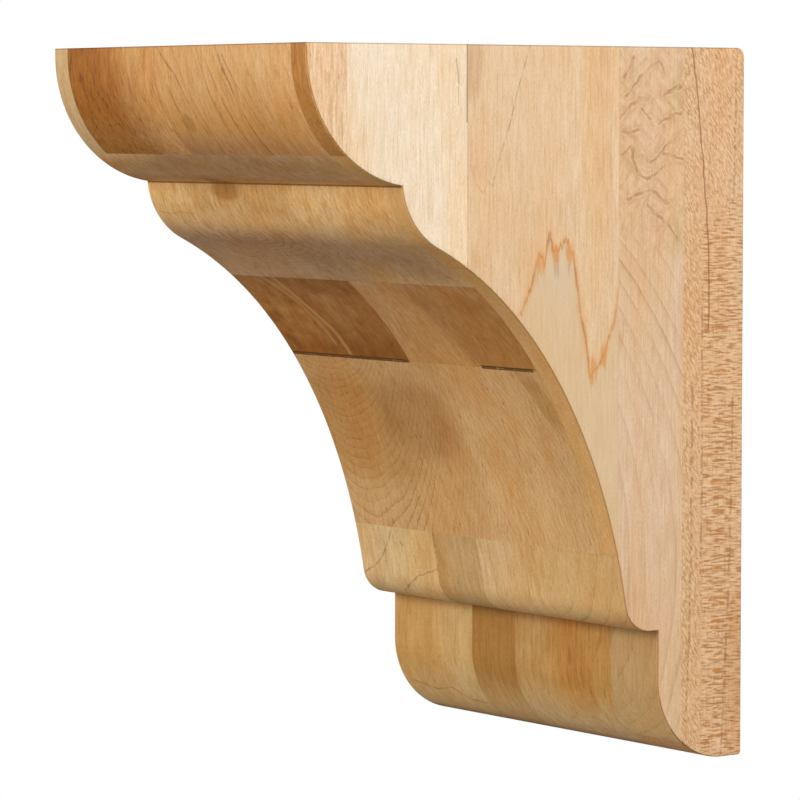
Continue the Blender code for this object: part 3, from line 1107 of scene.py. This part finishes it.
BOARD_LOOKS = {
    "skin_front": dict(
        light=(0.905, 0.675, 0.43), dark=(0.48, 0.27, 0.15), pith=(60.0, -140.0), spacing=3.2,
        line=0.35, fibre=0.6, pores=0.7, ticks=0.6, mottle=0.04, speckle=0.24, seed=1.0,
        joints=((0, SKIN, 0.3),), side_features=(pink_feature,), front_shade=(0.61, 0.44, 0.215),
    ),
    "skin_pale": dict(
        light=(0.94, 0.81, 0.63), dark=(0.66, 0.48, 0.32), pith=(90.0, 190.0), spacing=4.5,
        line=0.15, band=0.06, fibre=0.45, pores=0.4, ticks=0.3, mottle=0.04, seed=2.0,
        joints=((1, SKIN_DEPTHS[1], 0.4),), side_features=(fissure_feature,),
        front_features=(corner_shadow,), front_shade=(0.82, 0.65, 0.41),
    ),
    "skin_stained": dict(
        light=(0.83, 0.608, 0.387), dark=(0.53, 0.33, 0.175), pith=(140.0, 70.0), spacing=6.0,
        drift=(0.0, 0.04), line=0.2, band=0.10, fibre=0.45, ticks=0.3, mottle=0.05, seed=3.0,
        joints=((0, SKIN, 0.3), (1, SKIN_DEPTHS[1], 0.4), (1, FOOT_DEPTH, 0.1)),
        side_features=(vee_feature, stain_feature), front_shade=(0.95, 0.86, 0.65),
    ),
    "skin_slanted": dict(
        light=(0.78, 0.565, 0.372), dark=(0.45, 0.255, 0.125), pith=(70.0, 20.0), spacing=4.6,
        bend=(-0.005, 146.0), wave=1.4, line=0.75, band=0.10, fade=(2, 44.0, 62.0, 0.0, 1.0),
        fibre=0.35, ticks=0.3, mottle=0.05, seed=4.0, joints=((1, FOOT_DEPTH, 0.1),),
        side_features=(pink_feature, curl_feature),
        front_features=(foot_shading((0.76, 0.74, 0.74), (1.15, 1.20, 1.25)),),
        front_shade=(0.98, 0.98, 0.78),
    ),
    "skin_back": dict(
        light=(0.765, 0.51, 0.295), dark=(0.49, 0.27, 0.12), pith=(10.0, 40.0), spacing=4.0,
        line=0.15, band=0.05, fibre=0.2, mottle=0.06, seed=5.0, joints=(),
        features=(fleck_feature,),
    ),
    "cap_far": dict(
        light=(0.70, 0.54, 0.34), dark=(0.46, 0.30, 0.16), pith=(80.0, -90.0), spacing=3.0,
        line=0.3, mottle=0.05, seed=6.0, joints=((0, CAP_SPLITS[1], 0.5),),
    ),
    "cap_dark": dict(
        light=(0.735, 0.475, 0.23), dark=(0.38, 0.18, 0.06), pith=(150.0, 110.0), spacing=3.2,
        line=0.35, fibre=0.65, pores=0.6, ticks=0.6, mottle=0.06, speckle=0.27, seed=7.0,
        joints=((0, CAP_SPLITS[1], 0.5), (0, CAP_SPLITS[0], 0.3)), features=(cap_dark_feature,),
    ),
    "cap_main": dict(
        light=(0.78, 0.51, 0.265), dark=(0.40, 0.20, 0.08), pith=(140.0, -47.0), spacing=4.2,
        drift=(-0.6, 0.0), wave=0.8, line=0.45, band=0.10, fibre=0.4, ticks=0.6, mottle=0.06,
        seed=8.0, joints=((0, CAP_SPLITS[0], 0.3), (0, SKIN, 0.3)), features=(cap_strokes,),
    ),
    "neck": dict(
        light=(0.765, 0.565, 0.345), dark=(0.42, 0.25, 0.12), pith=(-140.0, 46.0), spacing=3.0,
        drift=(-1.0, 0.0), line=0.35, band=0.10, fibre=0.45, pores=0.6, ticks=0.6, mottle=0.08,
        speckle=0.23, cloud=0.10, seed=9.0, joints=((1, COVE_DEPTH, 0.15),), features=(neck_feature,),
    ),
    "cove_dark": dict(
        light=(0.605, 0.36, 0.162), dark=(0.34, 0.17, 0.053), pith=(110.0, -40.0), spacing=3.6,
        line=0.3, mottle=0.16, speckle=0.24, cloud=0.22, seed=10.0,
        joints=((0, COVE_SPLIT, 0.3), (1, COVE_DEPTH, 0.15)), features=(cove_patch, torn_feature),
    ),
    "cove_near": dict(
        light=(0.625, 0.37, 0.152), dark=(0.38, 0.19, 0.063), pith=(-160.0, 60.0), spacing=2.6,
        drift=(-0.57, 0.0), line=0.4, mottle=0.08, speckle=0.24, cloud=0.09, seed=11.0,
        joints=((0, SKIN, 0.4), (0, COVE_SPLIT, 0.3), (1, COVE_DEPTH, 0.15)),
        features=(cove_near_feature, torn_feature),
    ),
    "cove_low": dict(
        light=(0.68, 0.46, 0.235), dark=(0.36, 0.18, 0.07), pith=(112.0, 40.0), spacing=1.15,
        fold=(50.0, 0.52), wave=1.5, line=0.8, share=1.0, band=0.14, fibre=0.4, pores=0.5,
        fade=(0, 45.0, 100.0, 0.4, 1.0), ticks=0.6, mottle=0.06, speckle=0.13, seed=12.0,
        joints=((0, SKIN, 0.4),), features=(cove_low_feature, torn_feature),
    ),
    "foot_far": dict(
        light=(0.79, 0.61, 0.36), dark=(0.45, 0.29, 0.12), pith=(170.0, 20.0), spacing=7.0,
        line=0.2, ticks=0.35, mottle=0.10, speckle=0.12, cloud=0.09, seed=13.0,
        joints=((0, FOOT_SPLITS[1], 0.5),),
        features=(foot_shading((0.86, 0.79, 0.64)), mineral_lines),
    ),
    "foot_brown": dict(
        light=(0.63, 0.445, 0.235), dark=(0.38, 0.22, 0.09), pith=(-80.0, 100.0), spacing=3.0,
        line=0.5, fibre=0.5, pores=0.5, ticks=0.5, mottle=0.07, speckle=0.10, seed=14.0,
        joints=((0, FOOT_SPLITS[1], 0.5), (0, FOOT_SPLITS[0], 0.15)),
        features=(foot_shading((0.72, 0.55, 0.28), (1.30, 1.42, 1.60)),),
    ),
    "foot_mid": dict(
        light=(0.795, 0.62, 0.39), dark=(0.46, 0.29, 0.12), pith=(-60.0, 60.0), spacing=3.6,
        line=0.35, fibre=0.45, ticks=0.4, mottle=0.08, speckle=0.15, cloud=0.07, seed=15.0,
        joints=((0, FOOT_SPLITS[0], 0.15),),
        features=(foot_shading((0.75, 0.62, 0.41)), foot_mid_feature),
    ),
}
BOARD_NAMES = tuple(BOARD_LOOKS)


body = make_body()
for name, look in BOARD_LOOKS.items():
    body.data.materials.append(board_material(name, look))
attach(body, "root")
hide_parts("corbel")

CAMERA_AZIMUTH = math.radians(53.8)
CAMERA_PITCH = math.radians(3.825)
CAMERA_PLACE = (0.9687, -0.7844, 0.0807)
FOCAL_PIXELS = 4168.0
FRAME_PIXELS = 800.0
SENSOR = 36.0


def make_camera():
    data = bpy.data.cameras.new("camera")
    data.sensor_width = SENSOR
    data.lens = FOCAL_PIXELS / FRAME_PIXELS * SENSOR
    camera = bpy.data.objects.new("camera", data)
    camera.location = CAMERA_PLACE
    camera.rotation_euler = (QUARTER - CAMERA_PITCH, 0.0, CAMERA_AZIMUTH)
    bpy.context.scene.collection.objects.link(camera)
    bpy.context.scene.camera = camera


FLOOR_DROP = 0.30
FLOOR_SIZE = 40.0
AMBIENT_TOP = (0.42, 0.40, 0.37, 1.0)
AMBIENT_BOTTOM = (0.30, 0.24, 0.17, 1.0)
FLOOR_COLOUR = (0.22, 0.19, 0.16, 1.0)


def make_world():
    """Soft light all round, stronger from above, in front of a plain white background."""
    world = bpy.data.worlds.new("studio")
    world.use_nodes = True
    net = Net(world.node_tree)
    height = net.parts(net.field("ShaderNodeTexCoord", output="Generated"))[2]
    soft = net.blend(height.rise(-0.5, 0.6), AMBIENT_BOTTOM, AMBIENT_TOP)
    seen = net.field("ShaderNodeLightPath", output="Is Camera Ray")
    net.wire(net.blend(seen, soft, WHITE), "Background", "Color")
    bpy.context.scene.world = world


def make_floor():
    """A plain white floor well below the bracket, which hangs on a wall when in use."""
    bpy.ops.mesh.primitive_plane_add(size=FLOOR_SIZE, location=(0.0, 0.0, LOW[2] - FLOOR_DROP))
    floor = bpy.context.object
    floor.name = "floor"
    material = bpy.data.materials.new("floor")
    material.use_nodes = True
    net = Net(material.node_tree)
    seen = net.field("ShaderNodeLightPath", output="Is Camera Ray")
    white = net.field("ShaderNodeEmission", {"Color": WHITE, "Strength": 1.0})
    matt = net.field("ShaderNodeBsdfDiffuse", {"Color": FLOOR_COLOUR})
    mixed = net.field("ShaderNodeMixShader", {0: seen, 1: matt, 2: white})
    behind = net.field("ShaderNodeNewGeometry", output="Backfacing")
    clear = net.field("ShaderNodeBsdfTransparent")
    surface = net.field("ShaderNodeMixShader", {0: behind, 1: mixed, 2: clear})
    net.wire(surface, "Material Output", "Surface")
    floor.data.materials.append(material)


def make_light(name, azimuth, elevation, distance, size, power, colour):
    """A square soft box that faces the bracket; azimuth 0 is in front, 90 at +X."""
    a, e = math.radians(azimuth), math.radians(elevation)
    away = Vector((math.sin(a) * math.cos(e), -math.cos(a) * math.cos(e), math.sin(e)))
    data = bpy.data.lights.new(name, "AREA")
    data.size = size
    data.energy = power
    data.color = colour
    lamp = bpy.data.objects.new(name, data)
    lamp.location = Vector((0.0, -DEPTH * MM / 2, 0.0)) + away * distance
    lamp.rotation_euler = away.to_track_quat("Z", "Y").to_euler()
    bpy.context.scene.collection.objects.link(lamp)


make_camera()
make_world()
make_floor()
make_light("key", 106.0, 28.0, 1.6, 0.8, 19.0, (1.0, 0.97, 0.94))
make_light("fill", -6.0, 14.0, 1.8, 1.3, 22.0, (1.0, 0.83, 0.60))
bpy.context.scene.view_settings.view_transform = "Standard"
